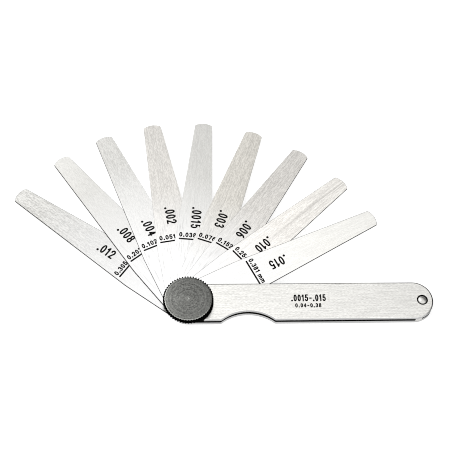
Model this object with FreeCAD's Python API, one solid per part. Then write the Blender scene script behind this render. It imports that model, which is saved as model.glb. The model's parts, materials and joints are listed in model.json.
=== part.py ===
import FreeCAD, Part
import math
import os

# Locking feeler gauge: tapered steel leaves that turn on a pivot bushing between two cover plates.
# Millimetres. The origin is on the pivot axis, at the outer face of the back cover.
# +X runs along the case to the rivet at its tail, +Y is the side that the leaves are fanned over,
# and +Z rises out of the front cover, where the lock knob is.

Vector = FreeCAD.Vector
UP = Vector(0, 0, 1)
INCH = 25.4

# Case: two plates with round ends, held apart at the tail by a spacer. The back plate's inner edge
# is chamfered to lead the leaves in.
CASE_HALF_WIDTH = 6.45
TAIL_CENTRE_X = 73.0
COVER_THICKNESS = 0.9
COVER_EDGE_ROUND = 0.35
BACK_COVER_LEAD_IN = 0.27
NOTCH_CENTRE_X = 19.2
NOTCH_HALF_CHORD = 8.7
NOTCH_DEPTH = 3.1
NOTCH_CORNER_ROUND = 1.0

# Leaves, from the bottom of the stack to the top: name, thickness, angle from the handle.
LEAVES = (
    ("leaf_012", 0.012 * INCH, 143.3),
    ("leaf_008", 0.008 * INCH, 127.8),
    ("leaf_004", 0.004 * INCH, 114.0),
    ("leaf_002", 0.002 * INCH, 99.6),
    ("leaf_0015", 0.0015 * INCH, 84.7),
    ("leaf_003", 0.003 * INCH, 70.0),
    ("leaf_006", 0.006 * INCH, 55.3),
    ("leaf_010", 0.010 * INCH, 40.5),
    ("leaf_015", 0.015 * INCH, 26.6),
)
LEAF_HALF_WIDTH = 6.35
LEAF_TAPER_START_X = 20.6
LEAF_TIP_HALF_WIDTH = 3.0
LEAF_CORNER_X = 69.8
LEAF_END_X = 70.7
LEAF_CORNER_ROUND = 0.5
LEAF_SPACING = 0.02
COVER_SPACING = 0.03

# Pivot: a flanged bushing let into the back cover, and the screw that turns in its blind bore.
BUSHING_RADIUS = 2.5
FLANGE_RADIUS = 3.8
FLANGE_THICKNESS = 0.4
FLANGE_CHAMFER = 0.12
BUSHING_TOP_SETBACK = 0.15
BUSHING_FLOOR = 0.6
BUSHING_CHAMFER = 0.15
SCREW_RADIUS = 1.7
SCREW_PITCH = 0.6
SCREW_THREAD_DEPTH = 0.3
SCREW_THREAD_TURNS = 5
SCREW_TIP_GAP = 0.25
RUNNING_CLEARANCE = 0.05

# Lock knob: a thin knurled disc that presses a washer against the front cover. Its face is flat
# in the middle, then slopes down a little, and ends in a chamfer just inside the knurl.
WASHER_RADIUS = 4.2
WASHER_THICKNESS = 0.4
FACE_GAP = 0.02
KNOB_RADIUS = 8.1
KNOB_THICKNESS = 1.95
KNOB_FLAT_RADIUS = 6.45
KNOB_SLOPE_DROP = 0.05
KNOB_CHAMFER = 0.12
KNOB_BOTTOM_CHAMFER = 0.25
KNOB_SOCKET_DEPTH = 1.0
KNURL_TEETH = 56
KNURL_DEPTH = 0.42
KNURL_CREST_SHARE = 0.36
KNURL_ROOT_SHARE = 0.56
KNURL_TOP_DROP = 0.1
CENTRE_MARK_RADIUS = 0.3
CENTRE_MARK_DEPTH = 0.15

# Tail rivet: a domed head in a wider recess on the front, and a countersunk end flush with the
# back.
RIVET_X = 75.9
RIVET_RADIUS = 1.0
RIVET_RECESS_RADIUS = 1.8
RIVET_RECESS_DEPTH = 0.4
RIVET_HEAD_RADIUS = 1.38
RIVET_DOME_START = 0.1
RIVET_DOME_HEIGHT = 0.55
RIVET_SINK_RADIUS = 1.6
RIVET_SINK_DEPTH = 0.6
RIVET_END_CHAMFER = 0.1
SPACER_BOSS_RADIUS = 2.4
STOP_BAR_X = 74.4
STOP_BAR_WIDTH = 2.2
SPACER_EDGE_SETBACK = 0.1

# Levels that follow from the sizes above.
STACK_HEIGHT = sum(thickness for _, thickness, _ in LEAVES) + LEAF_SPACING * (len(LEAVES) - 1)
STACK_BOTTOM = COVER_THICKNESS + COVER_SPACING
FRONT_COVER_BOTTOM = STACK_BOTTOM + STACK_HEIGHT + COVER_SPACING
FRONT_COVER_TOP = FRONT_COVER_BOTTOM + COVER_THICKNESS
RECESS_FLOOR = FRONT_COVER_TOP - RIVET_RECESS_DEPTH
WASHER_BOTTOM = FRONT_COVER_TOP + FACE_GAP
KNOB_BOTTOM = WASHER_BOTTOM + WASHER_THICKNESS + FACE_GAP
KNOB_TOP = KNOB_BOTTOM + KNOB_THICKNESS


def cylinder(radius, bottom, top, x=0.0):
    """Upright cylinder between two levels, on the pivot axis unless x says otherwise."""
    return Part.makeCylinder(radius, top - bottom, Vector(x, 0, bottom), UP)


def cone(bottom_radius, top_radius, bottom, top, x=0.0):
    """Upright cone frustum between two levels."""
    return Part.makeCone(bottom_radius, top_radius, top - bottom, Vector(x, 0, bottom), UP)


def extrude(edges, bottom, top):
    """Solid of the closed outline that the edges make in the XY plane, between two levels."""
    outline = Part.Face(Part.Wire(edges))
    outline.translate(UP * bottom)
    return outline.extrude(UP * (top - bottom))


def revolve(points):
    """Solid turned about the Z axis from a closed profile of (radius, level) points."""
    profile = Part.makePolygon([Vector(radius, 0, level) for radius, level in points + points[:1]])
    return Part.Face(profile).revolve(Vector(0, 0, 0), UP, 360)


def line(start, end):
    return Part.LineSegment(Vector(*start, 0), Vector(*end, 0)).toShape()


def arc(start, middle, end):
    return Part.Arc(Vector(*start, 0), Vector(*middle, 0), Vector(*end, 0)).toShape()


def upright_edges_at(solid, places):
    """The upright edges of a solid that stand at the given (x, y) places."""
    found = []
    for edge in solid.Edges:
        bounds = edge.BoundBox
        upright = bounds.ZLength > 0 and bounds.XLength < 1e-6 and bounds.YLength < 1e-6
        if upright and any(math.hypot(bounds.XMin - x, bounds.YMin - y) < 1e-4 for x, y in places):
            found.append(edge)
    return found


def case_blank(half_width, bottom, top):
    """Plate of the case's outline, with round ends and the finger notch in its near edge."""
    notch_start = (NOTCH_CENTRE_X - NOTCH_HALF_CHORD, -half_width)
    notch_end = (NOTCH_CENTRE_X + NOTCH_HALF_CHORD, -half_width)
    notch_peak = (NOTCH_CENTRE_X, -half_width + NOTCH_DEPTH)
    edges = [
        line((0, half_width), (TAIL_CENTRE_X, half_width)),
        arc((TAIL_CENTRE_X, half_width), (TAIL_CENTRE_X + half_width, 0), (TAIL_CENTRE_X, -half_width)),
        line((TAIL_CENTRE_X, -half_width), notch_end),
        arc(notch_end, notch_peak, notch_start),
        line(notch_start, (0, -half_width)),
        arc((0, -half_width), (-half_width, 0), (0, half_width)),
    ]
    plate = extrude(edges, bottom, top)
    corners = upright_edges_at(plate, [notch_start, notch_end])
    return plate.makeFillet(NOTCH_CORNER_ROUND, corners)


def rim_at(plate, level):
    """The edges round a plate's outline at the given level."""
    return [edge for edge in plate.Edges
            if abs(edge.BoundBox.ZMin - level) < 1e-6 and edge.BoundBox.ZLength < 1e-6]


def round_outer_edge(plate, level):
    """Eases the outline of a plate's outer face, which lies at the given level."""
    return plate.makeFillet(COVER_EDGE_ROUND, rim_at(plate, level))


def make_back_cover():
    plate = round_outer_edge(case_blank(CASE_HALF_WIDTH, 0, COVER_THICKNESS), 0)
    plate = plate.makeChamfer(BACK_COVER_LEAD_IN, rim_at(plate, COVER_THICKNESS))
    plate = plate.cut(cylinder(BUSHING_RADIUS, 0, COVER_THICKNESS))
    plate = plate.cut(cylinder(FLANGE_RADIUS, 0, FLANGE_THICKNESS))
    return plate.cut(rivet_hole())


def make_front_cover():
    blank = case_blank(CASE_HALF_WIDTH, FRONT_COVER_BOTTOM, FRONT_COVER_TOP)
    plate = round_outer_edge(blank, FRONT_COVER_TOP)
    hole = cylinder(BUSHING_RADIUS + RUNNING_CLEARANCE, FRONT_COVER_BOTTOM, FRONT_COVER_TOP)
    recess = cylinder(RIVET_RECESS_RADIUS, RECESS_FLOOR, FRONT_COVER_TOP, RIVET_X)
    return plate.cut(hole).cut(rivet_hole()).cut(recess)


def make_tail_spacer():
    """Boss round the rivet, with a stop bar across the case, as thick as the leaves' gap."""
    blank = case_blank(CASE_HALF_WIDTH - SPACER_EDGE_SETBACK, COVER_THICKNESS, FRONT_COVER_BOTTOM)
    corner = Vector(STOP_BAR_X - STOP_BAR_WIDTH / 2, -CASE_HALF_WIDTH, 0)
    bar = Part.makeBox(STOP_BAR_WIDTH, 2 * CASE_HALF_WIDTH, FRONT_COVER_TOP, corner)
    boss = cylinder(SPACER_BOSS_RADIUS, COVER_THICKNESS, FRONT_COVER_BOTTOM, RIVET_X)
    outline = blank.common(bar).fuse(boss).removeSplitter()
    return outline.cut(rivet_hole())


def rivet_hole():
    """The hole through the case for the rivet, up to its recess and sunk into the back cover."""
    hole = cylinder(RIVET_RADIUS, 0, RECESS_FLOOR, RIVET_X)
    sink = cone(RIVET_SINK_RADIUS, RIVET_RADIUS, 0, RIVET_SINK_DEPTH, RIVET_X)
    return hole.fuse(sink).removeSplitter()


def make_tail_rivet():
    """Shank that fills its hole, eased at the back end, under a head that stands in the recess."""
    dome_bottom = FRONT_COVER_TOP - RIVET_DOME_START
    dome_top = dome_bottom + RIVET_DOME_HEIGHT
    dome_radius = (RIVET_HEAD_RADIUS ** 2 + RIVET_DOME_HEIGHT ** 2) / (2 * RIVET_DOME_HEIGHT)
    ball = Part.makeSphere(dome_radius, Vector(RIVET_X, 0, dome_top - dome_radius))
    dome = ball.common(cylinder(RIVET_HEAD_RADIUS, dome_bottom, dome_top, RIVET_X))
    collar = cylinder(RIVET_HEAD_RADIUS, RECESS_FLOOR, dome_bottom, RIVET_X)
    end_ease = cone(RIVET_SINK_RADIUS - 2 * RIVET_END_CHAMFER, RIVET_SINK_RADIUS, 0, RIVET_END_CHAMFER,
                    RIVET_X)
    end_trim = cylinder(RIVET_SINK_RADIUS, 0, RIVET_END_CHAMFER, RIVET_X).cut(end_ease)
    return rivet_hole().cut(end_trim).multiFuse([collar, dome]).removeSplitter()


def make_leaf(bottom, thickness, angle):
    """One leaf lying on a level, round at the pivot, parallel, then tapered to a crowned tip."""
    corner_left = (LEAF_CORNER_X, LEAF_TIP_HALF_WIDTH)
    corner_right = (LEAF_CORNER_X, -LEAF_TIP_HALF_WIDTH)
    taper_left = (LEAF_TAPER_START_X, LEAF_HALF_WIDTH)
    taper_right = (LEAF_TAPER_START_X, -LEAF_HALF_WIDTH)
    edges = [
        line((0, LEAF_HALF_WIDTH), taper_left),
        line(taper_left, corner_left),
        arc(corner_left, (LEAF_END_X, 0), corner_right),
        line(corner_right, taper_right),
        line(taper_right, (0, -LEAF_HALF_WIDTH)),
        arc((0, -LEAF_HALF_WIDTH), (-LEAF_HALF_WIDTH, 0), (0, LEAF_HALF_WIDTH)),
    ]
    leaf = extrude(edges, bottom, bottom + thickness)
    leaf = leaf.makeFillet(LEAF_CORNER_ROUND, upright_edges_at(leaf, [corner_left, corner_right]))
    leaf = leaf.cut(cylinder(BUSHING_RADIUS + RUNNING_CLEARANCE, bottom, bottom + thickness))
    leaf.rotate(Vector(0, 0, 0), UP, angle)
    return leaf


def make_leaves():
    """All the leaves, each on top of the one before it."""
    leaves = {}
    bottom = STACK_BOTTOM
    for name, thickness, angle in LEAVES:
        leaves[name] = make_leaf(bottom, thickness, angle)
        bottom += thickness + LEAF_SPACING
    return leaves


def make_pivot_bushing():
    top = FRONT_COVER_TOP - BUSHING_TOP_SETBACK
    return revolve([
        (0, 0),
        (FLANGE_RADIUS - FLANGE_CHAMFER, 0),
        (FLANGE_RADIUS, FLANGE_CHAMFER),
        (FLANGE_RADIUS, FLANGE_THICKNESS),
        (BUSHING_RADIUS, FLANGE_THICKNESS),
        (BUSHING_RADIUS, top - BUSHING_CHAMFER),
        (BUSHING_RADIUS - BUSHING_CHAMFER, top),
        (SCREW_RADIUS + RUNNING_CLEARANCE, top),
        (SCREW_RADIUS + RUNNING_CLEARANCE, BUSHING_FLOOR),
        (0, BUSHING_FLOOR),
    ])


def make_lock_screw():
    """Screw below the knob. Its thread is a row of ring grooves, which suits the plain bore."""
    bottom = BUSHING_FLOOR + SCREW_TIP_GAP
    root = SCREW_RADIUS - SCREW_THREAD_DEPTH
    profile = [(0, bottom), (root, bottom)]
    for turn in range(SCREW_THREAD_TURNS):
        profile.append((SCREW_RADIUS, bottom + (turn + 0.5) * SCREW_PITCH))
        profile.append((root, bottom + (turn + 1) * SCREW_PITCH))
    profile.append((SCREW_RADIUS, bottom + SCREW_THREAD_TURNS * SCREW_PITCH + SCREW_THREAD_DEPTH))
    profile.append((SCREW_RADIUS, KNOB_BOTTOM + KNOB_SOCKET_DEPTH))
    profile.append((0, KNOB_BOTTOM + KNOB_SOCKET_DEPTH))
    return revolve(profile)


def make_clamp_washer():
    top = WASHER_BOTTOM + WASHER_THICKNESS
    disc = cylinder(WASHER_RADIUS, WASHER_BOTTOM, top)
    return disc.cut(cylinder(SCREW_RADIUS + RUNNING_CLEARANCE, WASHER_BOTTOM, top))


def knurled_blank():
    """Disc with a straight-knurled rim: flat-topped teeth, each a share of the pitch wide."""
    tooth_angle = 2 * math.pi / KNURL_TEETH
    crest_half_angle = tooth_angle * KNURL_CREST_SHARE / 2
    root_half_angle = tooth_angle * KNURL_ROOT_SHARE / 2
    points = []
    for tooth in range(KNURL_TEETH):
        middle = tooth * tooth_angle
        polar = (
            (KNOB_RADIUS - KNURL_DEPTH, middle - root_half_angle),
            (KNOB_RADIUS, middle - crest_half_angle),
            (KNOB_RADIUS, middle + crest_half_angle),
            (KNOB_RADIUS - KNURL_DEPTH, middle + root_half_angle),
        )
        points += [Vector(radius * math.cos(angle), radius * math.sin(angle), KNOB_BOTTOM)
                   for radius, angle in polar]
    outline = Part.makePolygon(points + points[:1])
    return Part.Face(outline).extrude(UP * KNOB_THICKNESS)


def make_lock_knob():
    root = KNOB_RADIUS - KNURL_DEPTH
    slope_end = KNOB_TOP - KNOB_SLOPE_DROP
    knurl_top = slope_end - KNOB_CHAMFER
    envelope = revolve([
        (0, KNOB_BOTTOM),
        (KNOB_RADIUS - KNOB_BOTTOM_CHAMFER, KNOB_BOTTOM),
        (KNOB_RADIUS, KNOB_BOTTOM + KNOB_BOTTOM_CHAMFER),
        (KNOB_RADIUS, knurl_top - KNURL_TOP_DROP),
        (root, knurl_top),
        (root - KNOB_CHAMFER, slope_end),
        (KNOB_FLAT_RADIUS, KNOB_TOP),
        (0, KNOB_TOP),
    ])
    socket = cylinder(SCREW_RADIUS, KNOB_BOTTOM, KNOB_BOTTOM + KNOB_SOCKET_DEPTH)
    centre_mark = cone(0, CENTRE_MARK_RADIUS, KNOB_TOP - CENTRE_MARK_DEPTH, KNOB_TOP)
    return knurled_blank().common(envelope).cut(socket).cut(centre_mark)


def make_parts():
    parts = {
        "back_cover": make_back_cover(),
        "front_cover": make_front_cover(),
        "tail_spacer": make_tail_spacer(),
        "tail_rivet": make_tail_rivet(),
        "pivot_bushing": make_pivot_bushing(),
        "clamp_washer": make_clamp_washer(),
        "lock_screw": make_lock_screw(),
        "lock_knob": make_lock_knob(),
    }
    parts.update(make_leaves())
    return parts


os.makedirs("parts", exist_ok=True)
for node, shape in make_parts().items():
    bounds = shape.BoundBox
    print(f"{node:14s} solids {len(shape.Solids)} valid {shape.isValid()} volume {shape.Volume:9.3f}"
          f" z {bounds.ZMin:.3f} to {bounds.ZMax:.3f}")
    shape.exportStep(f"parts/{node}.step")
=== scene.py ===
import bmesh
import bpy
import json
import math
from mathutils import Matrix, Vector


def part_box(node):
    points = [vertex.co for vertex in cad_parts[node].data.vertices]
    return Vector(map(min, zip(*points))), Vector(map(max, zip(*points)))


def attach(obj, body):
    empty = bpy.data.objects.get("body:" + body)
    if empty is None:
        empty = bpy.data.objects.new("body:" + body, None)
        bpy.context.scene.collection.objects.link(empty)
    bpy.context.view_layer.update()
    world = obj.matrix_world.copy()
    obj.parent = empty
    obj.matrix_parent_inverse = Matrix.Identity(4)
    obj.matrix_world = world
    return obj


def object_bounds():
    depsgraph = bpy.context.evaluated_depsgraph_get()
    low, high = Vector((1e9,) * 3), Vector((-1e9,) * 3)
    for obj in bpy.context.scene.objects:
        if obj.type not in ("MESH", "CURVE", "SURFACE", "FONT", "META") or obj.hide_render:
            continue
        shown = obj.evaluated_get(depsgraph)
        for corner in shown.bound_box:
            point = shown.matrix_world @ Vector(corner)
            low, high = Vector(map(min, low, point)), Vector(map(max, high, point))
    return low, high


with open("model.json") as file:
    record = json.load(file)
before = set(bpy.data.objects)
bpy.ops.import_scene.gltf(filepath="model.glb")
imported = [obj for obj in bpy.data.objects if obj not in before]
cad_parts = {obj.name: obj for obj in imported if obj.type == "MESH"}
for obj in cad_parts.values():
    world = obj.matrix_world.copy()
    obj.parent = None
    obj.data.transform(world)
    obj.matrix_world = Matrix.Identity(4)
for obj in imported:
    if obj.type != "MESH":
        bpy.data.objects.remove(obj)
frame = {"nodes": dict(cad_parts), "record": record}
CAD_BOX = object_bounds()

# Metres, in the frame of the CAD model: the pivot axis is Z, +X runs along the case to the tail
# rivet, and the leaves are fanned over +Y.
MM = 0.001
MM_PER_INCH = 25.4
JOINTS = {joint["name"]: joint for joint in frame["record"]["behaviour"]["joints"]}
LEAVES = sorted(node for node in frame["nodes"] if node.startswith("leaf_"))


# ---------------------------------------------------------------- small helpers

def leaf_angle(leaf):
    """The leaf's angle from the case at rest: its joint's lower limit folds it back to zero."""
    return -math.radians(JOINTS[leaf + "_swing"]["range_deg"][0])


def box_centre(node):
    low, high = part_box(node)
    return (low + high) / 2


def leaf_digits(leaf):
    """The decimals of the leaf's thickness in inches, from its name: 0015 for leaf_0015."""
    return leaf.split("_")[1]


# Shares of red, green and blue in a grey.
NEUTRAL = (1.0, 1.0, 1.0)
PALE = (1.01, 1.0, 0.962)
WARM = (1.03, 1.0, 0.95)
BROWN = (1.035, 1.0, 0.925)
OLIVE = (0.99, 1.0, 0.945)


def srgb(level, tint=NEUTRAL):
    """A grey of that sRGB level from 0 to 1, tinted."""
    linear = level / 12.92 if level <= 0.04045 else ((level + 0.055) / 1.055) ** 2.4
    return (*(linear * part for part in tint), 1.0)


# ---------------------------------------------------------------- how the materials look

# Noise features in a metre: along the grain, across it and through the sheet.
SCRATCHES = (130, 4000, 300)
SPECKLE = (1200, 4800, 300)
GRAIN = (500, 9000, 300)
CLOUD = (50, 150, 50)
RUB_MARKS = (220, 2400, 300)
STAIN_LINES = (30, 1700, 100)

# Noise features in a metre, alike in all directions.
KNOB_RINGS = 2000
KNOB_MOTTLE = 2600
HARDWARE_MOTTLE = 2500
INK_WEAR = 4000
FLOOR_CLOUD = 6

# Where a noise or another measure fades something in: none at the first value and all at the second.
NOISE_SPREAD = (0.3, 0.7)
FACING_UP = (0.75, 0.97)
STAIN_LINE_TONES = (0.45, 0.62)
RUB_MARK_TONES = (0.55, 0.68)
EDGE_SHADE_FACING = (0.1, 0.9)
TOOTH_WAVE = (-0.5, 0.0)
HARDWARE_TONES = (0.35, 0.65)
INK_WEAR_TONES = (0.5, 0.8)

# Share of each noise in the tone of a ground sheet, and the tones where it is darkest and lightest.
SCRATCH_SHARE = 0.4
SPECKLE_SHARE = 0.52
CLOUD_SHARE = 0.08
DARK_TONE = 0.4
LIGHT_TONE = 0.6

# Heights of the relief that a noise gives.
GRAIN_HEIGHT = 0.002 * MM
MOTTLE_HEIGHT = 0.003 * MM
RING_HEIGHT = 0.004 * MM

# Each leaf's grey level and tint, how much its streaks differ, the extra width in mm of painted shade
# down one side of the burr line, and how far from the pivot in mm the painted sheen reaches.
LEAF_LOOK = {
    "leaf_012": {"level": 0.73, "tint": PALE, "streaks": 0.17, "shade_line": 0.12, "sheen_reaches": 60},
    "leaf_008": {"level": 0.765, "tint": PALE, "streaks": 0.06, "shade_line": 0.19, "sheen_reaches": 54},
    "leaf_004": {"level": 0.745, "tint": PALE, "streaks": 0.11, "shade_line": 0.13, "sheen_reaches": 60},
    "leaf_002": {"level": 0.785, "tint": WARM, "streaks": 0.12, "shade_line": 0.02, "sheen_reaches": 44},
    "leaf_0015": {"level": 0.805, "tint": PALE, "streaks": 0.06, "shade_line": 0.0, "sheen_reaches": 48},
    "leaf_003": {"level": 0.81, "tint": BROWN, "streaks": 0.13, "shade_line": 0.03, "sheen_reaches": 42},
    "leaf_006": {"level": 0.82, "tint": WARM, "streaks": 0.135, "shade_line": 0.15, "sheen_reaches": 42},
    "leaf_010": {"level": 0.945, "tint": WARM, "streaks": 0.15, "shade_line": 0.09, "sheen_reaches": 42},
    "leaf_015": {"level": 0.97, "tint": PALE, "streaks": 0.07, "shade_line": 0.03, "sheen_reaches": 50},
}
LEAF_SEED_STEP = 3.7
LEAF_ROUGHNESS = (0.32, 0.24)
SHEET_ANISOTROPY = 0.6
GRAIN_TILT = 0.2
# Leaf side walls: the dark of a sheared edge, and painted shade.
SHEARED_WALL_AND_SHADE = srgb(0.03)
# Painted sheen: leaves lighter towards the pivot, standing in for their bright reflection there.
SHEEN_FULL_AT = 16 * MM
PIVOT_SHEEN = srgb(0.93)
SHEEN_SHARE = 0.9
# Dark line round a leaf's edge: a burr, with painted shade; wider on a thicker leaf.
BURR_AND_SHADE = srgb(0.25)
BURR_AND_SHADE_SHARE = 0.34
BURR_AND_SHADE_CORE_SHARE = 0.6
RUBBED = srgb(0.5)
RUB_SHARE = 0.36
RUBBED_BELOW_THICKNESS = 0.4 * MM
RUB_START = 42 * MM
RUB_FULL = 26 * MM

# Stain on one leaf: its strength, the half width where it is full and where it ends, and the stretch
# over which it comes up to its full strength.
STAINED_LEAF = "leaf_010"
STAIN = srgb(0.42, BROWN)
STAIN_STRENGTH = 0.34
STAIN_FULL_HALF_WIDTH = 0.2 * MM
STAIN_HALF_WIDTH = 2.2 * MM
STAIN_START = 35 * MM
STAIN_FULL = 65 * MM
STAIN_START_SHARE = 0.3

# A leaf's outline, as the CAD model has it. The dark line of burr and painted shade round the tip is
# drawn in full up to TIP_LINE_FULL before the corner, and none of it is left at TIP_LINE_END before the
# corner.
LEAF_HALF_WIDTH = 6.35 * MM
LEAF_TAPER_START_X = 20.6 * MM
LEAF_TIP_HALF_WIDTH = 3.0 * MM
LEAF_CORNER_X = 69.8 * MM
LEAF_END_X = 70.7 * MM
TIP_LINE_FULL = 0.5 * MM
TIP_LINE_END = 1.5 * MM

# Covers. Below its rounded outer edges a cover has painted shade, dark and rough, and so have the
# surface under the knob (painted shadow) and the rivet's recess. The edge has painted shade, most where
# it faces the tail and the far side.
COVER_LEVEL = 0.91
COVER_STREAKS = 0.13
COVER_ROUGHNESS = (0.36, 0.28)
COVER_EDGE = srgb(0.68)
# Painted shade on the cover's edge, darkest where it faces the tail and the far side.
COVER_SHADED_EDGE = srgb(0.2)
COVER_RIM_WIDTH = 0.48 * MM
COVER_RIM_CORE_SHARE = 0.8
EDGE_SHADE_DIRECTION = (0.9, 0.45, 0)
# Painted shade between the covers, under the knob and in the rivet's recess: dark, rough and not metal.
COVER_PAINTED_SHADE = srgb(0.06, BROWN)
PAINTED_SHADE_ROUGHNESS = 0.6
UNSHADED_DEPTH = 0.36 * MM
SHADED_DEPTH = 0.39 * MM
# Painted shadow under the knob, and painted shade in the rivet's recess.
KNOB_SHADOW_RADIUS = 8.1 * MM
KNOB_SHADOW_END = 8.2 * MM
RECESS_SHADE_RADIUS = 1.7 * MM
RECESS_SHADE_END = 1.75 * MM

# Lock knob. The last lengths are measured in from the root of the knurl: where the chamfer and its
# worn edge, lightened also as a painted highlight, start, and where the black of the tooth feet and of
# the wall (painted shade on the wall) fades in.
KNOB_DARK = srgb(0.28, OLIVE)
KNOB_LIGHT = srgb(0.53, OLIVE)
# Worn edge of the chamfer, lightened also as a painted highlight.
KNOB_WORN_AND_LIT = srgb(0.64, OLIVE)
# Painted highlight at the knob's centre.
KNOB_CENTRE_HIGHLIGHT = srgb(0.66, OLIVE)
# Black of the knurl, which on its side wall is also painted shade.
KNOB_BLACK_AND_SHADE = srgb(0.02)
KNOB_ROUGHNESS = (0.34, 0.42)
KNOB_ANISOTROPY = 0.3
RING_SHARE = 0.42
MOTTLE_SHARE = 0.58
KNOB_DARK_TONE = 0.38
KNOB_LIGHT_TONE = 0.62
KNOB_CENTRE_RADIUS = 0.6 * MM
KNOB_CENTRE_FULL_RADIUS = 0.24 * MM
KNOB_CENTRE_SHARE = 0.6
RING_SLOPE = math.radians(2.5)
CHAMFER_SLOPE = math.radians(19)
KNURL_TEETH = 56
KNURL_DEPTH = 0.42 * MM
CHAMFER_INSET = 0.34 * MM
WORN_AND_LIT_EDGE_INSET = 0.3 * MM
TOOTH_FOOT_INSETS = (0.16 * MM, 0.12 * MM)
WALL_INSETS = (0.04 * MM, 0.02 * MM)

# Rivet and the rest of the hardware.
RIVET_DARK = srgb(0.74, PALE)
RIVET_LIGHT = srgb(0.82, PALE)
# Painted shade on the rivet below the cover's surface, in its recess.
RIVET_PAINTED_SHADE = srgb(0.03)
RIVET_ROUGHNESS = (0.38, 0.46)
RIVET_SHADED_BELOW_COVER = 0.14 * MM
RIVET_UNSHADED_ABOVE_COVER = 0.02 * MM
HARDWARE_DARK = srgb(0.72, PALE)
HARDWARE_LIGHT = srgb(0.82, PALE)
HARDWARE_ROUGHNESS = (0.2, 0.3)

# Ink and floor.
INK_BLACK = srgb(0.0)
INK_WORN = srgb(0.08)
INK_ROUGHNESS = 0.7
INK_SPECULAR = 0.1
FLOOR_DARK = srgb(0.72)
FLOOR_LIGHT = srgb(0.74)
FLOOR_ROUGHNESS = 0.9
FLOOR_GLOW = 0.65


# ---------------------------------------------------------------- materials

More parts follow.
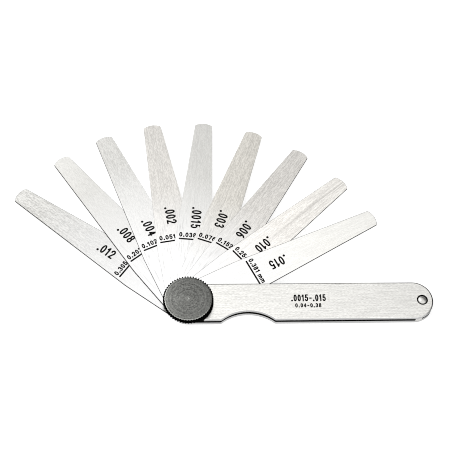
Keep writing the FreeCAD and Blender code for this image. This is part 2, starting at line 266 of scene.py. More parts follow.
class Shader:
    """A new material with its node tree, and short ways to add and join nodes."""

    def __init__(self, name):
        self.material = bpy.data.materials.new(name)
        self.material.use_nodes = True
        self.nodes = self.material.node_tree.nodes
        self.links = self.material.node_tree.links
        self.principled = self.nodes["Principled BSDF"]

    def add(self, kind, **settings):
        node = self.nodes.new(kind)
        for key, value in settings.items():
            setattr(node, key, value)
        return node

    def join(self, output, target):
        self.links.new(output, target)

    def set_or_join(self, socket, value):
        """Gives the socket a constant, or joins it to another node's output."""
        if isinstance(value, (int, float, tuple)):
            socket.default_value = value
        else:
            self.join(value, socket)

    def math(self, operation, first, second=0.0):
        node = self.add("ShaderNodeMath", operation=operation)
        self.set_or_join(node.inputs[0], first)
        self.set_or_join(node.inputs[1], second)
        return node.outputs[0]

    def mix_colour(self, amount, first, second):
        """The first colour where amount is zero, and the second where it is one.

        The colours of a Mix node are its inputs 6 and 7 and its output 2.
        """
        node = self.add("ShaderNodeMix", data_type="RGBA")
        self.set_or_join(node.inputs[0], amount)
        self.set_or_join(node.inputs[6], first)
        self.set_or_join(node.inputs[7], second)
        return node.outputs[2]

    def mix_value(self, amount, first, second):
        """The first value where amount is zero, and the second where it is one."""
        share = self.math("MULTIPLY", self.math("SUBTRACT", second, first), amount)
        return self.math("ADD", first, share)

    def weighted_sum(self, *terms):
        total = 0.0
        for value, weight in terms:
            total = self.math("ADD", self.math("MULTIPLY", value, weight), total)
        return total

    def remap(self, value, low, high, new_low, new_high):
        """The value moved from one range to another, and held at the ends of the new one."""
        node = self.add("ShaderNodeMapRange")
        self.join(value, node.inputs["Value"])
        node.inputs["From Min"].default_value = low
        node.inputs["From Max"].default_value = high
        node.inputs["To Min"].default_value = new_low
        node.inputs["To Max"].default_value = new_high
        return node.outputs["Result"]

    def ramp(self, value, zero_at, one_at):
        """Zero where the value is at zero_at or short of it, one at one_at or past it."""
        return self.remap(value, zero_at, one_at, 0.0, 1.0)

    def vary(self, noise, values):
        """Goes from the first of two values to the second over the spread that a noise mostly has."""
        return self.remap(noise, *NOISE_SPREAD, *values)

    def object_position(self, angle=0.0, scale=(1, 1, 1), offset=(0, 0, 0)):
        """Position on the object, turned by angle about Z so that X runs along the grain."""
        coordinates = self.add("ShaderNodeTexCoord")
        turn = self.add("ShaderNodeMapping")
        turn.inputs["Rotation"].default_value = (0, 0, -angle)
        self.join(coordinates.outputs["Object"], turn.inputs["Vector"])
        stretch = self.add("ShaderNodeMapping")
        stretch.inputs["Scale"].default_value = scale
        stretch.inputs["Location"].default_value = offset
        self.join(turn.outputs["Vector"], stretch.inputs["Vector"])
        return stretch.outputs["Vector"]

    def axis(self, vector, name):
        split = self.add("ShaderNodeSeparateXYZ")
        self.join(vector, split.inputs[0])
        return split.outputs[name]

    def length(self, vector):
        node = self.add("ShaderNodeVectorMath", operation="LENGTH")
        self.join(vector, node.inputs[0])
        return node.outputs["Value"]

    def radius(self, centre=(0.0, 0.0)):
        """Distance from an upright axis through centre."""
        from_axis = self.add("ShaderNodeVectorMath", operation="SUBTRACT")
        from_axis.inputs[1].default_value = (*centre, 0)
        self.join(self.object_position(), from_axis.inputs[0])
        flat = self.add("ShaderNodeVectorMath", operation="MULTIPLY")
        flat.inputs[1].default_value = (1, 1, 0)
        self.join(from_axis.outputs[0], flat.inputs[0])
        return self.length(flat.outputs[0])

    def facing_up(self):
        """One on faces that look straight up or down, and zero on the side walls."""
        coordinates = self.add("ShaderNodeTexCoord")
        upright = self.math("ABSOLUTE", self.axis(coordinates.outputs["Normal"], "Z"))
        return self.ramp(upright, *FACING_UP)

    def noise(self, vector, scale=1.0, detail=2.0, roughness=0.5):
        node = self.add("ShaderNodeTexNoise")
        node.inputs["Scale"].default_value = scale
        node.inputs["Detail"].default_value = detail
        node.inputs["Roughness"].default_value = roughness
        self.join(vector, node.inputs["Vector"])
        return node.outputs["Fac"]

    def spread_across_grain(self, angle):
        """Highlights stretch across the grain, which runs along angle and turns with the body.

        The direction is tilted a little out of the sheet, so that it also holds on the side walls.
        """
        turn = self.add("ShaderNodeVectorTransform", vector_type="VECTOR",
                        convert_from="OBJECT", convert_to="WORLD")
        turn.inputs[0].default_value = (-math.sin(angle), math.cos(angle), GRAIN_TILT)
        self.join(turn.outputs[0], self.principled.inputs["Tangent"])

    def spread_outwards(self):
        """Highlights stretch along the radius: a quarter of a turn from the rings that a lathe leaves."""
        tangent = self.add("ShaderNodeTangent", direction_type="RADIAL", axis="Z")
        self.join(tangent.outputs[0], self.principled.inputs["Tangent"])
        self.principled.inputs["Anisotropic Rotation"].default_value = 0.25

    def bump(self, height, distance):
        node = self.add("ShaderNodeBump")
        node.inputs["Distance"].default_value = distance
        node.inputs["Strength"].default_value = 1.0
        self.join(height, node.inputs["Height"])
        self.join(node.outputs["Normal"], self.principled.inputs["Normal"])

    def surface(self, colour, roughness, metallic=1.0, anisotropic=0.0, specular=0.0):
        sockets = self.principled.inputs
        sockets["Anisotropic"].default_value = anisotropic
        sockets["Specular IOR Level"].default_value = specular
        self.set_or_join(sockets["Base Color"], colour)
        self.set_or_join(sockets["Roughness"], roughness)
        self.set_or_join(sockets["Metallic"], metallic)
        return self.material


def steel_sheet_face(shader, angle, level, tint, streaks, seed):
    """Colour, scratches and grain height of a ground sheet: lengthwise scratches on a faint cloud.

    The seed and the numbers beside it set the noises of one sheet apart, and each sheet from the next.
    """
    scratch = shader.noise(shader.object_position(angle, SCRATCHES, (seed, seed, 0)), detail=2)
    speckle = shader.noise(shader.object_position(angle, SPECKLE, (seed, 0, 4)), detail=1)
    grain = shader.noise(shader.object_position(angle, GRAIN, (seed, seed, 8)), detail=2)
    cloud = shader.noise(shader.object_position(angle, CLOUD, (0, seed, 9)), detail=1)
    tone = shader.weighted_sum((scratch, SCRATCH_SHARE), (speckle, SPECKLE_SHARE), (cloud, CLOUD_SHARE))
    dark = srgb(level - streaks / 2, tint)
    light = srgb(min(level + streaks / 2, 1.0), tint)
    colour = shader.mix_colour(shader.ramp(tone, DARK_TONE, LIGHT_TONE), dark, light)
    return colour, scratch, grain


def leaf_steel(leaf, seed):
    """Spring steel leaf: ground faces, a painted sheen near the pivot, and dark sheared edges with
    painted shade.
    """
    look = LEAF_LOOK[leaf]
    angle = leaf_angle(leaf)
    low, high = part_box(leaf)
    thickness = high.z - low.z
    shader = Shader(leaf + "_steel")
    face, scratch, grain = steel_sheet_face(shader, angle, look["level"], look["tint"],
                                            look["streaks"], seed)
    along = shader.axis(shader.object_position(angle), "X")
    across = shader.axis(shader.object_position(angle), "Y")
    if leaf == STAINED_LEAF:
        face = add_middle_stain(shader, face, along, across, angle)
    # Painted sheen: the face is lighter towards the pivot, standing in for the bright reflection there.
    sheen = shader.remap(along, look["sheen_reaches"] * MM, SHEEN_FULL_AT, 0.0, SHEEN_SHARE)
    face = shader.mix_colour(sheen, face, PIVOT_SHEEN)
    face = add_rub_marks(shader, face, along, angle, thickness, seed)
    # Dark line round the edge: a burr and painted shade, wider down the side away from the fan's middle.
    burr_and_shade = leaf_burr_and_shade(shader, along, across, angle, BURR_AND_SHADE_SHARE * thickness, look["shade_line"] * MM)
    face = shader.mix_colour(burr_and_shade, face, BURR_AND_SHADE)
    # Side walls black: the sheared edge's own dark, and painted shade.
    on_face = shader.facing_up()
    colour = shader.mix_colour(on_face, SHEARED_WALL_AND_SHADE, face)
    shader.bump(grain, GRAIN_HEIGHT)
    shader.spread_across_grain(angle)
    roughness = shader.vary(scratch, LEAF_ROUGHNESS)
    return shader.surface(colour, roughness, metallic=on_face, anisotropic=SHEET_ANISOTROPY)


def add_middle_stain(shader, face, along, across, angle):
    """Brownish lengthwise lines down the middle of a leaf, stronger towards its tip."""
    lines = shader.noise(shader.object_position(angle, STAIN_LINES, (0, 3, 0)), detail=2)
    from_middle = shader.math("ABSOLUTE", across)
    band = shader.ramp(from_middle, STAIN_HALF_WIDTH, STAIN_FULL_HALF_WIDTH)
    shown = shader.math("MULTIPLY", band, shader.ramp(lines, *STAIN_LINE_TONES))
    towards_tip = shader.remap(along, STAIN_START, STAIN_FULL, STAIN_START_SHARE, 1.0)
    shown = shader.math("MULTIPLY", shown, towards_tip)
    return shader.mix_colour(shader.math("MULTIPLY", shown, STAIN_STRENGTH), face, STAIN)


def add_rub_marks(shader, face, along, angle, thickness, seed):
    """Faint grey scuffs that the neighbouring leaves leave near the pivot, most on a thin leaf."""
    marks = shader.noise(shader.object_position(angle, RUB_MARKS, (0, seed, 6)), detail=3)
    strength = RUB_SHARE * (1 - thickness / RUBBED_BELOW_THICKNESS)
    near_pivot = shader.remap(along, RUB_START, RUB_FULL, 0.0, strength)
    shown = shader.math("MULTIPLY", shader.ramp(marks, *RUB_MARK_TONES), near_pivot)
    return shader.mix_colour(shown, face, RUBBED)


def leaf_burr_and_shade(shader, along, across, angle, width, shade_line):
    """One on the dark line round a leaf's edge, a burr with painted shade, which is wider down one side.

    That side is the one away from the middle of the fan, and the extra width there is painted shade.
    """
    slope = (LEAF_HALF_WIDTH - LEAF_TIP_HALF_WIDTH) / (LEAF_CORNER_X - LEAF_TAPER_START_X)
    run = shader.math("MAXIMUM", shader.math("SUBTRACT", along, LEAF_TAPER_START_X), 0.0)
    half_width = shader.math("SUBTRACT", LEAF_HALF_WIDTH, shader.math("MULTIPLY", run, slope))
    from_side = shader.math("SUBTRACT", half_width, shader.math("ABSOLUTE", across))
    tip_sagitta = LEAF_END_X - LEAF_CORNER_X
    tip_radius = (LEAF_TIP_HALF_WIDTH ** 2 + tip_sagitta ** 2) / (2 * tip_sagitta)
    tip_centre = (LEAF_END_X - tip_radius) * Vector((math.cos(angle), math.sin(angle)))
    from_tip = shader.math("SUBTRACT", tip_radius, shader.radius(tip_centre))
    before_tip = shader.ramp(along, LEAF_CORNER_X - TIP_LINE_FULL, LEAF_CORNER_X - TIP_LINE_END)
    inwards = shader.math("MINIMUM", from_side, shader.math("ADD", from_tip, before_tip))
    burr_and_shade = shader.ramp(inwards, width, BURR_AND_SHADE_CORE_SHARE * width)
    outer_side = 1.0 if angle > math.pi / 2 else -1.0
    from_outer_side = shader.math("SUBTRACT", half_width, shader.math("MULTIPLY", across, outer_side))
    wide = width + shade_line
    wide_burr_and_shade = shader.ramp(from_outer_side, wide, BURR_AND_SHADE_CORE_SHARE * wide)
    return shader.math("MAXIMUM", burr_and_shade, wide_burr_and_shade)


def cover_steel(cover, outer_side, seed):
    """Cover plate: fine-ground outside, bright edges with painted shade towards the tail, and painted
    shade inside.
    """
    low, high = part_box(cover)
    shader = Shader(cover + "_steel")
    face, scratch, grain = steel_sheet_face(shader, 0, COVER_LEVEL, PALE, COVER_STREAKS, seed)
    # The edge gets painted shade towards the tail and the far side.
    inwards, edge_shade = cover_rim(shader, low, high)
    edge = shader.mix_colour(edge_shade, COVER_EDGE, COVER_SHADED_EDGE)
    face = shader.mix_colour(shader.facing_up(), edge, face)
    # A band of painted shade along the face's outer rim, where the edge has painted shade.
    rim = shader.ramp(inwards, COVER_RIM_WIDTH, COVER_RIM_CORE_SHARE * COVER_RIM_WIDTH)
    face = shader.mix_colour(shader.math("MULTIPLY", rim, edge_shade), face, COVER_SHADED_EDGE)
    # Painted shade inside the case, and on the front cover painted shadow under the knob and in the
    # recess.
    painted_shade = cover_inside_shade(shader, high.z if outer_side == "top" else low.z)
    if outer_side == "top":
        painted_shade = shader.math("MAXIMUM", painted_shade, front_cover_shadow(shader))
    colour = shader.mix_colour(painted_shade, face, COVER_PAINTED_SHADE)
    shader.bump(grain, GRAIN_HEIGHT)
    shader.spread_across_grain(0)
    roughness = shader.mix_value(painted_shade, shader.vary(scratch, COVER_ROUGHNESS), PAINTED_SHADE_ROUGHNESS)
    unshaded = shader.math("SUBTRACT", 1.0, painted_shade)
    return shader.surface(colour, roughness, metallic=unshaded, anisotropic=SHEET_ANISOTROPY)


def cover_rim(shader, low, high):
    """Depth inside a cover's outline, and how much painted shade its edge has there: most at the tail
    end.
    """
    half_width = (high.y - low.y) / 2
    position = shader.object_position()
    beyond_tail = shader.math("SUBTRACT", shader.axis(position, "X"), high.x - half_width)
    outwards = shader.add("ShaderNodeCombineXYZ")
    shader.join(shader.math("MAXIMUM", beyond_tail, 0.0), outwards.inputs[0])
    shader.join(shader.axis(position, "Y"), outwards.inputs[1])
    dull_way = shader.add("ShaderNodeVectorMath", operation="DOT_PRODUCT")
    dull_way.inputs[1].default_value = EDGE_SHADE_DIRECTION
    shader.join(outwards.outputs[0], dull_way.inputs[0])
    from_axis = shader.length(outwards.outputs[0])
    facing = shader.math("DIVIDE", dull_way.outputs["Value"], from_axis)
    return shader.math("SUBTRACT", half_width, from_axis), shader.ramp(facing, *EDGE_SHADE_FACING)


def cover_inside_shade(shader, outer_level):
    """One where shade is painted: on the level faces of a cover that lie deeper than its rounded outer
    edge.
    """
    level = shader.axis(shader.object_position(), "Z")
    depth = shader.math("ABSOLUTE", shader.math("SUBTRACT", level, outer_level))
    return shader.math("MULTIPLY", shader.ramp(depth, UNSHADED_DEPTH, SHADED_DEPTH), shader.facing_up())


def front_cover_shadow(shader):
    """One where shadow is painted: under the knob and in the rivet's recess."""
    under_knob = shader.ramp(shader.radius(), KNOB_SHADOW_END, KNOB_SHADOW_RADIUS)
    from_rivet = shader.radius(box_centre("tail_rivet").xy)
    in_recess = shader.ramp(from_rivet, RECESS_SHADE_END, RECESS_SHADE_RADIUS)
    return shader.math("MAXIMUM", under_knob, in_recess)


def turned_black_steel():
    """Blackened steel knob: turned rings round a painted highlight at the centre, a worn chamfer and a
    black knurl.

    The face and its chamfer slope more steeply in the light than the solid does. The chamfer's worn edge
    is also a painted highlight, and the knurl's wall has painted shade.
    """
    shader = Shader("turned_black_steel")
    position = shader.object_position()
    radius = shader.radius()
    knurl_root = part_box("lock_knob")[1].x - KNURL_DEPTH
    chamfer_start = knurl_root - CHAMFER_INSET
    ring_line = shader.add("ShaderNodeCombineXYZ")
    shader.join(radius, ring_line.inputs[0])
    rings = shader.noise(ring_line.outputs[0], scale=KNOB_RINGS, detail=2, roughness=0.6)
    mottle = shader.noise(position, scale=KNOB_MOTTLE, detail=2, roughness=0.7)
    tone = shader.weighted_sum((rings, RING_SHARE), (mottle, MOTTLE_SHARE))
    face = shader.mix_colour(shader.ramp(tone, KNOB_DARK_TONE, KNOB_LIGHT_TONE), KNOB_DARK, KNOB_LIGHT)
    # Painted highlight at the centre of the face.
    centre = shader.remap(radius, KNOB_CENTRE_RADIUS, KNOB_CENTRE_FULL_RADIUS, 0.0, KNOB_CENTRE_SHARE)
    face = shader.mix_colour(centre, face, KNOB_CENTRE_HIGHLIGHT)
    # The chamfer's worn edge, with a painted highlight.
    worn_and_lit_edge = shader.ramp(radius, chamfer_start, knurl_root - WORN_AND_LIT_EDGE_INSET)
    face = shader.mix_colour(worn_and_lit_edge, face, KNOB_WORN_AND_LIT)
    # Black knurl, with painted shade on its side wall.
    knurl_and_shade = knurl_black_and_shade(shader, position, radius, knurl_root)
    colour = shader.mix_colour(knurl_and_shade, face, KNOB_BLACK_AND_SHADE)
    past_chamfer = shader.math("MAXIMUM", shader.math("SUBTRACT", radius, chamfer_start), 0.0)
    height = shader.weighted_sum(
        (radius, -math.tan(RING_SLOPE)),
        (past_chamfer, -math.tan(CHAMFER_SLOPE)),
        (rings, RING_HEIGHT),
    )
    shader.bump(height, 1.0)
    shader.spread_outwards()
    roughness = shader.vary(mottle, KNOB_ROUGHNESS)
    bare = shader.math("SUBTRACT", 1.0, knurl_and_shade)
    return shader.surface(colour, roughness, metallic=bare, anisotropic=KNOB_ANISOTROPY)


def knurl_black_and_shade(shader, position, radius, knurl_root):
    """One on the knob's side wall and on the foot of each knurl tooth, just inside the wall; on the wall
    the black is also painted shade.
    """
    around = shader.math("ARCTAN2", shader.axis(position, "Y"), shader.axis(position, "X"))
    wave = shader.math("COSINE", shader.math("MULTIPLY", around, KNURL_TEETH))
    tooth = shader.ramp(wave, *TOOTH_WAVE)
    foot = shader.ramp(radius, *(knurl_root - inset for inset in TOOTH_FOOT_INSETS))
    wall = shader.ramp(radius, *(knurl_root - inset for inset in WALL_INSETS))
    return shader.math("MAXIMUM", wall, shader.math("MULTIPLY", tooth, foot))


def rivet_steel():
    """Domed rivet: bright head, and painted shade on what lies sunk in the recess round it."""
    shader = Shader("rivet_steel")
    mottle = shader.noise(shader.object_position(), scale=HARDWARE_MOTTLE, detail=3)
    head = shader.mix_colour(shader.ramp(mottle, *HARDWARE_TONES), RIVET_DARK, RIVET_LIGHT)
    cover_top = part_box("front_cover")[1].z
    level = shader.axis(shader.object_position(), "Z")
    # Painted shade on what lies sunk in the recess.
    unshaded = shader.ramp(level, cover_top - RIVET_SHADED_BELOW_COVER, cover_top + RIVET_UNSHADED_ABOVE_COVER)
    colour = shader.mix_colour(unshaded, RIVET_PAINTED_SHADE, head)
    shader.bump(mottle, MOTTLE_HEIGHT)
    return shader.surface(colour, shader.vary(mottle, RIVET_ROUGHNESS), metallic=unshaded)


def plain_steel():
    """Turned hardware: small parts with a faintly mottled, fairly bright surface."""
    shader = Shader("plain_steel")
    mottle = shader.noise(shader.object_position(), scale=HARDWARE_MOTTLE, detail=3)
    colour = shader.mix_colour(shader.ramp(mottle, *HARDWARE_TONES), HARDWARE_DARK, HARDWARE_LIGHT)
    shader.bump(mottle, MOTTLE_HEIGHT)
    return shader.surface(colour, shader.vary(mottle, HARDWARE_ROUGHNESS), specular=0.5)


def marking_ink():
    """Black etched marking, slightly worn and uneven."""
    shader = Shader("marking_ink")
    wear = shader.noise(shader.object_position(), scale=INK_WEAR, detail=3)
    colour = shader.mix_colour(shader.ramp(wear, *INK_WEAR_TONES), INK_BLACK, INK_WORN)
    return shader.surface(colour, INK_ROUGHNESS, metallic=0.0, specular=INK_SPECULAR)


def floor_paint():
    """Pale matt studio floor, lit a little from below like a light table."""
    shader = Shader("floor_paint")
    cloud = shader.noise(shader.object_position(), scale=FLOOR_CLOUD, detail=2)
    colour = shader.mix_colour(cloud, FLOOR_DARK, FLOOR_LIGHT)
    shader.principled.inputs["Emission Color"].default_value = srgb(1.0)
    shader.principled.inputs["Emission Strength"].default_value = FLOOR_GLOW
    return shader.surface(colour, FLOOR_ROUGHNESS, metallic=0.0)


def assign(node, material):
    mesh = frame["nodes"][node].data
    mesh.materials.clear()
    mesh.materials.append(material)


def paint_cad_nodes():
    for index, leaf in enumerate(LEAVES):
        assign(leaf, leaf_steel(leaf, seed=LEAF_SEED_STEP * index))
    assign("front_cover", cover_steel("front_cover", "top", seed=41))
    assign("back_cover", cover_steel("back_cover", "bottom", seed=57))
    assign("lock_knob", turned_black_steel())
    assign("tail_rivet", rivet_steel())
    hardware = plain_steel()
    for node in ("tail_spacer", "pivot_bushing", "clamp_washer", "lock_screw"):
        assign(node, hardware)


# ---------------------------------------------------------------- markings

INK_THICKNESS = 0.008 * MM
INK_DEPTH_IN_STEEL = 0.002 * MM


class Lettering:
    """One kind of marking: the height and width of its digits, the gap between them, and its pen."""

    def __init__(self, height, width, gap, pen):
        self.height = height
        self.width = width
        self.gap = gap
        self.pen = pen


NUMERALS = Lettering(3.4 * MM, 1.6 * MM, 0.34 * MM, 0.56 * MM)
SMALL_SIZE = Lettering(1.8 * MM, 1.1 * MM, 0.18 * MM, 0.41 * MM)
COVER_RANGE = Lettering(2.5 * MM, 1.1 * MM, 0.2 * MM, 0.44 * MM)
COVER_METRIC = Lettering(1.55 * MM, 0.86 * MM, 0.2 * MM, 0.34 * MM)
ARC_STEP_DEGREES = 20
ROUND_END_DEGREES = (30, 60, 80)


def arc(x, y, half_width, half_height, start, end):
    """Points of an elliptical arc between two angles in degrees."""
    steps = round(abs(end - start) / ARC_STEP_DEGREES)
    angles = [math.radians(start + (end - start) * step / steps) for step in range(steps + 1)]
    return [(x + half_width * math.cos(angle), y + half_height * math.sin(angle)) for angle in angles]


# Pen strokes of plain round lettering: each character fills a box one wide and one high.
STROKES = {
    "0": [arc(0.5, 0.5, 0.5, 0.5, 0, 360)],
    "1": [[(0.0, 0.78), (0.7, 1.0)], [(0.7, 1.0), (0.7, 0.0)]],
    "2": [arc(0.5, 0.74, 0.5, 0.26, 180, -20) + [(0.0, 0.0)], [(0.0, 0.0), (1.0, 0.0)]],
    "3": [arc(0.48, 0.76, 0.44, 0.24, 160, -90), arc(0.48, 0.26, 0.52, 0.26, 90, -160)],
    "4": [[(0.7, 0.0), (0.7, 1.0)], [(0.7, 1.0), (0.0, 0.28)], [(0.0, 0.28), (1.0, 0.28)]],
    "5": [[(0.95, 1.0), (0.15, 1.0)], [(0.15, 1.0), (0.08, 0.53)],
          arc(0.48, 0.32, 0.52, 0.32, 140, -160)],
    "6": [arc(0.5, 0.3, 0.5, 0.3, 0, 360), arc(0.9, 0.3, 0.9, 0.7, 100, 180)],
    "7": [[(0.0, 1.0), (1.0, 1.0)], [(1.0, 1.0), (0.35, 0.0)]],
    "8": [arc(0.5, 0.76, 0.43, 0.24, 0, 360), arc(0.5, 0.26, 0.5, 0.26, 0, 360)],
    "m": [[(0.0, 0.0), (0.0, 0.62)], arc(0.25, 0.4, 0.25, 0.22, 180, 0) + [(0.5, 0.0)],
          arc(0.75, 0.4, 0.25, 0.22, 180, 0) + [(1.0, 0.0)]],
    ".": [arc(0.5, 0.05, 0.5, 0.05, 0, 360)],
    "-": [[(0.1, 0.45), (0.9, 0.45)]],
    " ": [],
}
WIDTH_SHARE = {"1": 0.65, ".": 0.25, "m": 1.7, " ": 0.1, "-": 0.9}

# Places on a leaf: X from the pivot towards the tip, Y to the left of the leaf. The numerals of some
# leaves stand a little nearer to the tip or the pivot.
NUMERAL_START = Vector((36.5, 1.5, 0)) * MM
NUMERAL_SHIFT = {
    "leaf_004": -1.8 * MM,
    "leaf_002": 0.6 * MM,
    "leaf_003": 0.5 * MM,
    "leaf_006": 0.3 * MM,
}
SMALL_SIZE_START = Vector((24.7, 5.0, 0)) * MM
UNDERLINE_CENTRE = Vector((24.0, 0.0, 0)) * MM
UNDERLINE_SIZE = Vector((0.55, 10.0, 0)) * MM
UNDERLINE_CORNER_SHARE = 0.2

# Places on the front cover.
COVER_RANGE_START = Vector((33.2, -0.2, 0)) * MM
COVER_METRIC_START = Vector((34.4, -2.4, 0)) * MM


def turned_place(place, angle):
    """Moves a mesh that is drawn at the origin to a place, turned by angle about Z."""
    return Matrix.Translation((place.x, place.y, 0)) @ Matrix.Rotation(angle, 4, "Z")


def place_marking(name, body, mesh, ground, placing):
    """Lays a flat marking on the surface at the level of ground, just proud of it."""
    lift = Matrix.Translation((0, 0, ground - INK_DEPTH_IN_STEEL + INK_THICKNESS / 2))
    mesh.transform(lift @ placing)
    mesh.materials.clear()
    mesh.materials.append(INK)
    piece = bpy.data.objects.new(name, mesh)
    bpy.context.scene.collection.objects.link(piece)
    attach(piece, body)


def round_end(before, end, half_pen):
    """Points past the end of a stroke with the share of the pen's width there: a half circle."""
    outwards = (end - before).normalized() * half_pen
    turns = [math.radians(turn) for turn in ROUND_END_DEGREES]
    return [(end + outwards * math.sin(turn), math.cos(turn)) for turn in turns]


def draw_stroke(curve, points):
    """Adds one pen stroke with round ends, or a closed loop where its ends meet."""
    points = [Vector(point) for point in points]
    closed = (points[0] - points[-1]).length < curve.bevel_depth / 10
    if closed:
        row = [(point, 1.0) for point in points[:-1]]
    else:
        first_end = round_end(points[1], points[0], curve.bevel_depth)
        last_end = round_end(points[-2], points[-1], curve.bevel_depth)
        row = first_end[::-1] + [(point, 1.0) for point in points] + last_end
    spline = curve.splines.new("POLY")
    spline.points.add(len(row) - 1)
    for target, (point, radius) in zip(spline.points, row):
        target.co = (point.x, point.y, 0, 1)
        target.radius = radius
    spline.use_cyclic_u = closed


def curve_to_mesh(curve):
    """The mesh of a curve's round pen strokes."""
    strokes = bpy.data.objects.new(curve.name, curve)
    bpy.context.scene.collection.objects.link(strokes)
    bpy.context.view_layer.update()
    mesh = bpy.data.meshes.new_from_object(strokes)
    bpy.data.objects.remove(strokes)
    return mesh


def make_text(name, body, text, lettering, ground, start, angle):
    """Printed text in flat pen strokes: its baseline starts at start and runs along angle."""
    curve = bpy.data.curves.new(name + "_strokes", "CURVE")
    curve.dimensions = "3D"
    curve.bevel_depth = lettering.pen / 2
    curve.bevel_resolution = 2
    curve.use_fill_caps = True
    height = lettering.height - lettering.pen
    left = 0.0
    for character in text:
        width = (lettering.width - lettering.pen) * WIDTH_SHARE.get(character, 1.0)
        for stroke in STROKES[character]:
            draw_stroke(curve, [(left + x * width, y * height) for x, y in stroke])
        left += width + lettering.pen + lettering.gap
    flat = Matrix.Diagonal((1, 1, INK_THICKNESS / lettering.pen, 1))
    half_pen = Matrix.Translation((lettering.pen / 2, lettering.pen / 2, 0))
    place_marking(name, body, curve_to_mesh(curve), ground, turned_place(start, angle) @ half_pen @ flat)


def make_bar(name, body, size, ground, centre, angle):
    """A plain printed bar, with its corners cut like those of a stamped line."""
    outline = bmesh.new()
    bmesh.ops.create_cube(outline, size=1.0)
    bmesh.ops.scale(outline, vec=(size.x, size.y, INK_THICKNESS), verts=outline.verts)
    heights = {edge: abs(edge.verts[0].co.z - edge.verts[1].co.z) for edge in outline.edges}
    uprights = [edge for edge in outline.edges if heights[edge] > INK_THICKNESS / 2]
    corner = UNDERLINE_CORNER_SHARE * size.x
    bmesh.ops.bevel(outline, geom=uprights, offset=corner, segments=3, affect="EDGES")
    mesh = bpy.data.meshes.new(name)
    outline.to_mesh(mesh)
    outline.free()
    place_marking(name, body, mesh, ground, turned_place(centre, angle))


def mark_leaf(leaf):
    """The inch size along the leaf, and an underlined metric size across it."""
    angle = leaf_angle(leaf)
    turn = Matrix.Rotation(angle, 4, "Z")
    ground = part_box(leaf)[1].z
    numeral_start = NUMERAL_START + Vector((NUMERAL_SHIFT.get(leaf, 0.0), 0, 0))
    make_text(leaf + "_inch_size", leaf, "." + leaf_digits(leaf), NUMERALS, ground,
              turn @ numeral_start, angle + math.pi)
    millimetres = float("0." + leaf_digits(leaf)) * MM_PER_INCH
    make_text(leaf + "_metric_size", leaf, f"{millimetres:.3f} mm", SMALL_SIZE, ground,
              turn @ SMALL_SIZE_START, angle - math.pi / 2)
    make_bar(leaf + "_underline", leaf, UNDERLINE_SIZE, ground, turn @ UNDERLINE_CENTRE, angle)


def mark_cover():
    """The range of the leaves, in inches and in millimetres."""
    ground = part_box("front_cover")[1].z
    make_text("range_inches", "case", ".0015-.015", COVER_RANGE, ground, COVER_RANGE_START, 0)
    make_text("range_metric", "case", "0.04-0.38", COVER_METRIC, ground, COVER_METRIC_START, 0)


# ---------------------------------------------------------------- studio

# The camera's place, seen from its aim: its direction, its roll and its distance. The aim lies a
# little off the middle of the CAD box.
CAMERA_AZIMUTH = math.radians(-5.6)
CAMERA_ELEVATION = math.radians(60.24)
CAMERA_ROLL = math.radians(4.54)
CAMERA_DISTANCE = 403.9 * MM
CAMERA_LENS_MM = 96.4
CAMERA_CLIP_START = 10 * MM
CAMERA_AIM_OFFSET = Vector((1.92, -1.68, -1.485)) * MM

FLOOR_SIDE = 3.0
FLOOR_GAP = 0.05 * MM

KEY_PLACE = Vector((-0.35, 0.3, 0.55))
KEY_AIM = Vector((0.01, 0.02, 0))
KEY_SIDE = 0.2
KEY_POWER = 1.2

# The sky's level at each position, from straight away from SHADE_DIRECTION to straight along it.
SHADE_DIRECTION = Vector((0.75, 0.66, 0))
SKY_STRENGTH = 1.35
SKY_STOPS = ((0.27, 1.0), (0.36, 0.9), (0.48, 0.66), (0.62, 0.2), (0.8, 0.04))

PIXEL_FILTER_WIDTH = 1.0


def make_camera():
    low, high = (Vector(corner) for corner in CAD_BOX)
    aim = (low + high) / 2 + CAMERA_AIM_OFFSET
    direction = Vector((
        math.sin(CAMERA_AZIMUTH) * math.cos(CAMERA_ELEVATION),
        -math.cos(CAMERA_AZIMUTH) * math.cos(CAMERA_ELEVATION),
        math.sin(CAMERA_ELEVATION),
    ))
    camera = bpy.data.objects.new("camera", bpy.data.cameras.new("camera"))
    camera.data.lens = CAMERA_LENS_MM
    camera.data.clip_start = CAMERA_CLIP_START
    camera.location = aim + direction * CAMERA_DISTANCE
    turn = direction.to_track_quat("Z", "Y").to_matrix() @ Matrix.Rotation(CAMERA_ROLL, 3, "Z")
    camera.rotation_euler = turn.to_euler()
    bpy.context.scene.collection.objects.link(camera)
    bpy.context.scene.camera = camera


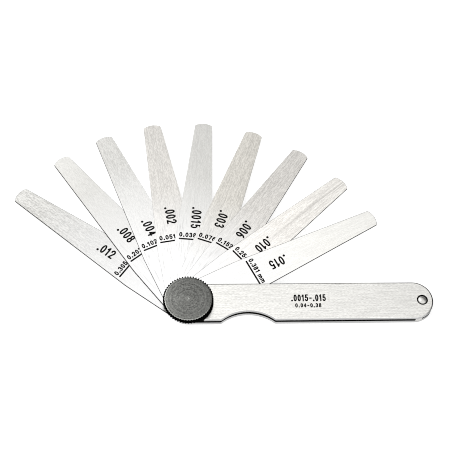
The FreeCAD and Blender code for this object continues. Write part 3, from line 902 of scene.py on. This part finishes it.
def make_floor():
    half = FLOOR_SIDE / 2
    corners = [(-half, -half, 0), (half, -half, 0), (half, half, 0), (-half, half, 0)]
    mesh = bpy.data.meshes.new("floor")
    mesh.from_pydata(corners, [], [(0, 1, 2, 3)])
    mesh.materials.append(floor_paint())
    floor = bpy.data.objects.new("floor", mesh)
    floor.location.z = CAD_BOX[0][2] - FLOOR_GAP
    bpy.context.scene.collection.objects.link(floor)


def make_sky():
    """Even white studio light that falls off to dark in the far right of the room."""
    world = bpy.data.worlds.new("studio")
    bpy.context.scene.world = world
    world.use_nodes = True
    nodes = world.node_tree.nodes
    links = world.node_tree.links
    coordinates = nodes.new("ShaderNodeTexCoord")
    towards_shade = nodes.new("ShaderNodeVectorMath")
    towards_shade.operation = "DOT_PRODUCT"
    towards_shade.inputs[1].default_value = SHADE_DIRECTION
    ramp = nodes.new("ShaderNodeValToRGB")
    stops = ramp.color_ramp.elements
    stops_of_new_ramp = len(stops)
    for index, (position, level) in enumerate(SKY_STOPS):
        stop = stops[index] if index < stops_of_new_ramp else stops.new(position)
        stop.position = position
        stop.color = (level, level, level, 1)
    links.new(coordinates.outputs["Generated"], towards_shade.inputs[0])
    links.new(towards_shade.outputs["Value"], ramp.inputs[0])
    links.new(ramp.outputs[0], nodes["Background"].inputs["Color"])
    nodes["Background"].inputs["Strength"].default_value = SKY_STRENGTH


def make_key_light():
    """A soft square lamp, high on the left behind the fan."""
    light = bpy.data.lights.new("key", "AREA")
    light.shape = "RECTANGLE"
    light.size = KEY_SIDE
    light.size_y = KEY_SIDE
    light.energy = KEY_POWER
    lamp = bpy.data.objects.new("key", light)
    lamp.location = KEY_PLACE
    lamp.rotation_euler = (KEY_PLACE - KEY_AIM).to_track_quat("Z", "Y").to_euler()
    bpy.context.scene.collection.objects.link(lamp)


def make_studio():
    make_camera()
    make_floor()
    make_sky()
    make_key_light()
    bpy.context.scene.view_settings.view_transform = "Standard"
    bpy.context.scene.cycles.filter_width = PIXEL_FILTER_WIDTH


paint_cad_nodes()
INK = marking_ink()
for leaf_name in LEAVES:
    mark_leaf(leaf_name)
mark_cover()
make_studio()
